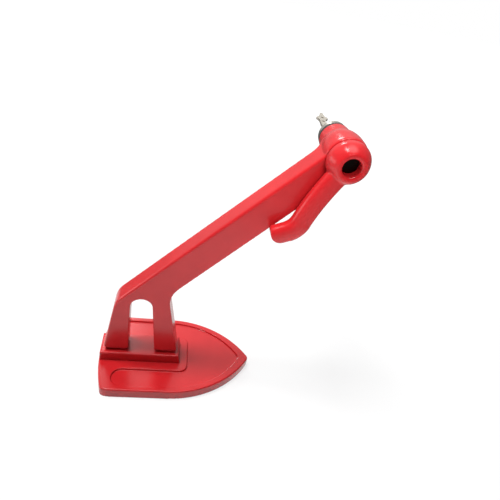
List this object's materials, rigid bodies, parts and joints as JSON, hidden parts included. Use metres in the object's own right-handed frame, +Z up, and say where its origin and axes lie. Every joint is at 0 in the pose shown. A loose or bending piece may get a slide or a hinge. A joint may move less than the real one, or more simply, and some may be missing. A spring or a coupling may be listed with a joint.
{
  "type": "wheel clamp",
  "caption": "Painted wheel clamp: pointed sole plate, sloping arm on two legs, swinging hook on a locking spindle, and a keyed lock in the head.",
  "frame": {"origin": "middle of the sole's underside", "axes": "+Z up, +X from the heel to the tip of the sole and towards the head, +Y towards the lock side"},
  "size_m": [0.2016, 0.138, 0.2684],
  "materials": {
    "paint": "gloss red paint",
    "zinc": "zinc-plated steel",
    "black_steel": "blackened steel",
    "brass": "machined brass",
    "rubber": "moulded rubber",
    "chrome": "chrome plate",
    "nickel": "nickel-plated steel"
  },
  "bodies": {
    "frame": {"sole_plate": "paint", "arm_pedestal": "paint", "arm": "paint", "foot_bolts": "zinc", "foot_washers": "zinc", "spindle_bush": "brass", "lock_housing": "zinc", "housing_grub_screw": "black_steel", "bezel_seal": "rubber", "lock_bezel": "chrome"},
    "hook": {"hook": "paint", "hook_spindle": "black_steel", "thrust_washer": "brass", "friction_washer": "brass", "spindle_circlip": "black_steel"},
    "plug": {"lock_plug": "brass", "wafer_tumblers": "brass", "plug_clip": "black_steel", "cam_pin": "zinc"},
    "bolt": {"lock_bolt": "zinc"},
    "key": {"key": "nickel"}
  },
  "joints": [
    {"name": "hook_swing", "type": "hinge", "parent": "frame", "child": "hook", "pos_m": [0.10831, 0, 0.25084], "axis": [0, -1, 0], "range_deg": [0, 150]},
    {"name": "key_turn", "type": "hinge", "parent": "frame", "child": "plug", "pos_m": [0.10831, 0, 0.25084], "axis": [0, 1, 0], "range_deg": [0, 90]},
    {"name": "bolt_slide", "type": "slide", "parent": "frame", "child": "bolt", "axis": [0, -1, 0], "range_m": [0, 0.005]},
    {"name": "key_pull", "type": "slide", "parent": "plug", "child": "key", "axis": [0, 1, 0], "range_m": [0, 0.035]}
  ],
  "couplings": [
    {"joint": "bolt_slide", "follows": "key_turn", "m_per_rad": 0.0031831}
  ]
}
